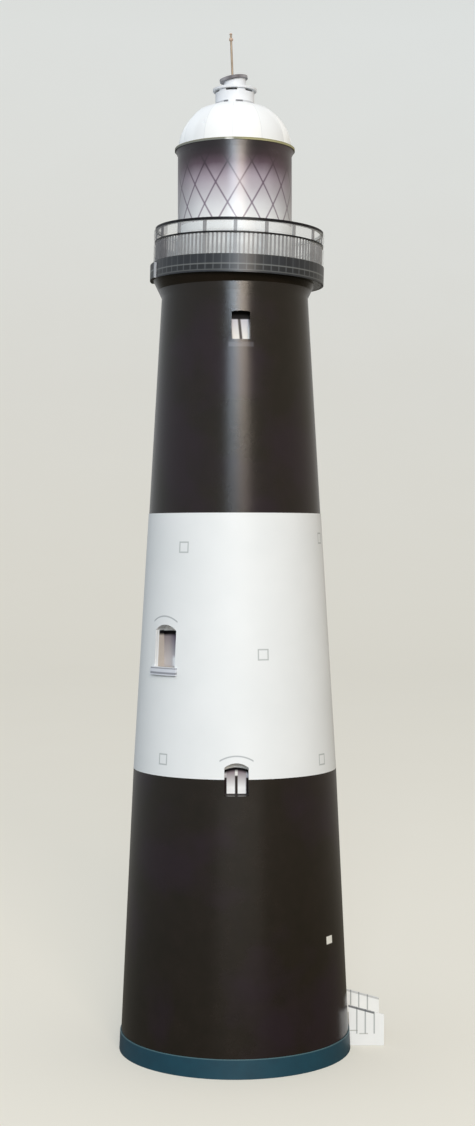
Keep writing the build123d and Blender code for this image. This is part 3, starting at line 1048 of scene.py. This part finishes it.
eave = Finish("eave_card", {"Specular IOR Level": 0.3})
eave_rise = eave.up - eave_level
rim = eave.lay(eave.step(eave.around, 4.0, 14.0), ink(124, 128, 124), ink(176, 172, 128))
rim = eave.lay(eave.line(eave.around, *bare_spot, 3.0), rim, ink(240, 242, 238))
eave_colour = eave.lay(eave.step(eave_rise, 0.2, 0.08) * 0.5, rim, ink(130, 126, 88))
eave_colour = eave.lay(eave.noise(0.7) * 0.3, eave_colour, ink(140, 138, 120))
eave.bump(grain(eave), 0.25, 0.05)
eave.finish(eave_colour, 0.65)

dress("lantern_murette", white_card.material)
dress("lantern_glazing", glazing.material)
dress("lantern_cornice", glazing.material)
dress("lantern_eave", eave.material)

# ---- Dome ----
# Twelve curved gores of white card are joined edge to edge into a dome. The cut
# edges show as fine lines, and each gore takes the light a little differently. The
# crown has sunk a little under the ventilator that is glued on it.
gore_count = 12
gore_seam = -2.0
gore_line = 0.02
dome_level = 143.85
dome_foot_line = 0.3
gore_ink = (246, 248, 248)
gore_shade = (240, 243, 245)
crown_radius = 3.0
crown_reach = 7.5
crown_sink = 0.56
gore_crease = 50
roundness = 0.8
outward_share = 0.8

dome_card = Finish("dome_card", {"Specular IOR Level": 0.4})
gores = (dome_card.around - gore_seam) * (gore_count / 360)
seam_line = dome_card.line(gores.wrapped(0.5), 0.0, gore_line, 0.02)
gore_number = gores.sum("FLOOR", gores)
gore_tone = gore_number.sum("FRACT", gore_number.sum("SINE", gore_number * 12.9898) * 43758.5)
dome_colour = dome_card.lay(gore_tone, ink(*gore_ink), ink(*gore_shade))
dome_colour = dome_card.lay(seam_line * 0.35, dome_colour, ink(186, 194, 200))
foot_line = dome_card.line(dome_card.up, dome_level, dome_foot_line, 0.1)
dome_colour = dome_card.lay(foot_line * 0.8, dome_colour, ink(150, 146, 116))
dome_card.bump(grain(dome_card) - seam_line * 0.8, 0.2, 0.05)
dome_card.finish(dome_colour, 0.5)


def shaded_round(piece, share):
    """Turns the level part of each corner's normal by a share towards straight out
    from the axis, so that gores of bent card shade as one dome."""
    corners = []
    for corner, loop in zip(piece.data.corner_normals, piece.data.loops):
        spot = piece.data.vertices[loop.vertex_index].co
        outward = Vector((spot.x, spot.y, 0)).normalized()
        level = Vector((corner.vector.x, corner.vector.y, 0))
        if level.dot(outward) > level.length * outward_share:
            level = level.lerp(outward * level.length, share)
        corners.append((level.x, level.y, corner.vector.z))
    piece.data.normals_split_custom_set(corners)


def sink_crown(piece):
    """Lowers a piece near the axis, wholly at the crown and not at all at its reach."""
    for vertex in piece.data.vertices:
        reach = Vector((vertex.co.x, vertex.co.y)).length / mm
        share = min(max((crown_reach - reach) / (crown_reach - crown_radius), 0), 1)
        vertex.co.z -= crown_sink * mm * share * share * (3 - 2 * share)


dome = joined_copy("lantern_dome", gore_crease)
sink_crown(dome)
shaded_round(dome, roundness)
put(dome, "lantern_dome", dome_card.material)

# ---- Ventilator and cowl ----
# A short white drum with dark slots cut under its flange stands on the dome's crown,
# with gaps in the glue at its foot that are marked by painted shade. A smaller drum above it
# carries a shallow grey cap that has slipped to one side.
drum_foot = 151.45
gap_height = 0.32
gap_rise = 0.14
gap_shade_ink = (70, 72, 80)
left_gap = (-27.0, 13.0, 4.0)
right_gap = (13.0, 21.0, 4.0)
side_gaps = (47.0, 54.0, 6.0)
cap_shadow = (-0.1, 2.3, 0.9)

drum_card = Finish("drum_card", {"Specular IOR Level": 0.4})
drum_cloud = drum_card.noise(0.6)
# Painted shade marks the glue gaps at the drum's foot.
gap_shade = drum_card.line(drum_card.around, *left_gap) + drum_card.line(drum_card.around, *right_gap)
gap_shade = gap_shade + drum_card.line(abs(drum_card.around), *side_gaps) * 0.4
gap_level = drum_foot - crown_sink + gap_rise
gap_shade = gap_shade.clamped() * drum_card.line(drum_card.up, gap_level, gap_height, 0.1)
drum_colour = drum_card.lay(drum_cloud, ink(240, 243, 246), ink(224, 228, 234))
drum_colour = drum_card.lay(gap_shade * 0.9, drum_colour, ink(*gap_shade_ink))
drum_card.bump(grain(drum_card), 0.2, 0.05)
drum_card.finish(drum_colour, 0.5)

cap_card = Finish("cap_card", {"Specular IOR Level": 0.5})
cap_cloud = cap_card.noise(0.9, 4.0)
cap_card.bump(grain(cap_card), 0.25, 0.05)
cap_colour = cap_card.lay(cap_cloud, ink(168, 168, 172), ink(148, 146, 150))
cap_middle = cap_card.line(cap_card.x, *cap_shadow)
cap_colour = cap_card.lay(cap_middle * 0.85, cap_colour, ink(88, 82, 86))
cap_card.finish(cap_colour, 0.5)

# The drum's foot follows the sunk crown down.
drum = joined_copy("ventilator_drum")
for vertex in drum.data.vertices:
    if vertex.co.z < (drum_foot + 0.1) * mm:
        vertex.co.z -= crown_sink * mm
put(drum, "ventilator_drum", drum_card.material)
dress("ventilator_flange", drum_card.material)
dress("cowl_drum", drum_card.material)
dress("cowl_cap", cap_card.material)

# ---- Lightning rod ----
# A thin leaning wire of dull copper stands through the cap, with a small bead
# threaded on it and a drop of glue at its tip.
copper_ink = (190, 170, 148)
tarnish_ink = (138, 124, 108)
bead_crease = 40

rod_metal = Finish("dull_copper_wire", {"Specular IOR Level": 0.5})
tarnish = rod_metal.noise(1.4, 4.0, 0.6)
rod_metal.bump(rod_metal.noise(6.0, 2.0, 0.5, (1, 1, 0.2)), 0.2, 0.02)
rod_colour = rod_metal.lay(tarnish, ink(*copper_ink), ink(*tarnish_ink))
rod_metal.finish(rod_colour, 0.4 + tarnish * 0.2, 0.5 - tarnish * 0.3)

bead_metal = Finish("pale_bead", {"Specular IOR Level": 0.5})
bead_cloud = bead_metal.noise(1.2)
bead_colour = bead_metal.lay(bead_cloud, ink(214, 186, 166), ink(182, 154, 134))
bead_metal.finish(bead_colour, 0.35 + bead_cloud * 0.1)
dress("lightning_rod", rod_metal.material)
dress("rod_bead", bead_metal.material, bead_crease)
dress("rod_tip", bead_metal.material, bead_crease)

# ---- Entrance steps ----
# Folded card steps run down from the door between two side cards, each printed
# with a railing: a grey handrail, thin uprights and the line of the treads.
stair_start = 18.4
stair_end = 24.05
rail_at_wall = 6.5
rail_at_end = 4.95
stair_middle = 5.0
handrail_drop = 0.16
handrail_width = 0.32
handrail_end = 22.4
upright_places = (19.32, 20.68, 22.12)
upright_width = 0.2
upright_foot = 1.9
near_shift = 0.33
tread_line = 0.16
treads = ((2.42, 19.15, 1.3), (1.9, 20.75, 1.4))

step_card = Finish("step_card", {"Specular IOR Level": 0.3})
step_cloud = step_card.noise(0.5)
step_card.bump(grain(step_card), 0.3, 0.06)
step_card.finish(step_card.lay(step_cloud, ink(222, 220, 212), ink(204, 200, 190)), 0.75)

rail_print = Finish("step_railing_print", {"Specular IOR Level": 0.4})
slope = (rail_at_end - rail_at_wall) / (stair_end - stair_start)
under_rail = rail_at_wall + (rail_print.x - stair_start) * slope - rail_print.up
near = rail_print.y < stair_middle
# The far card's handrail is printed paler, and the near card's ends before the foot.
handrail = rail_print.line(under_rail, handrail_drop, handrail_width, 0.12)
handrail = handrail * (1 - near * rail_print.step(rail_print.x, handrail_end, 0.1))
handrail = handrail * (0.4 + near * 0.5)
along_rail = rail_print.x - near * near_shift
first, second, third = (
    rail_print.line(along_rail, place, upright_width, 0.1) for place in upright_places
)
uprights = (first + second + third) * rail_print.step(rail_print.up, upright_foot, 0.1)
upper_tread, lower_tread = (
    rail_print.line(rail_print.up, level, tread_line, 0.1)
    * rail_print.line(rail_print.x, middle, width, 0.1)
    for level, middle, width in treads
)
paper_white = rail_print.lay(rail_print.noise(0.5), ink(252, 253, 251), ink(244, 246, 244))
colour = rail_print.lay(uprights.clamped() * 0.75, paper_white, ink(140, 146, 146))
tread_ink = (upper_tread + lower_tread).clamped() * 0.6
colour = rail_print.lay(tread_ink, colour, ink(140, 142, 130))
colour = rail_print.lay(handrail, colour, ink(84, 88, 92))
rail_print.bump(grain(rail_print), 0.2, 0.05)
rail_print.finish(colour, 0.5)

dress("entrance_steps", step_card.material)
dress("steps_railing_near", rail_print.material)
dress("steps_railing_far", rail_print.material)
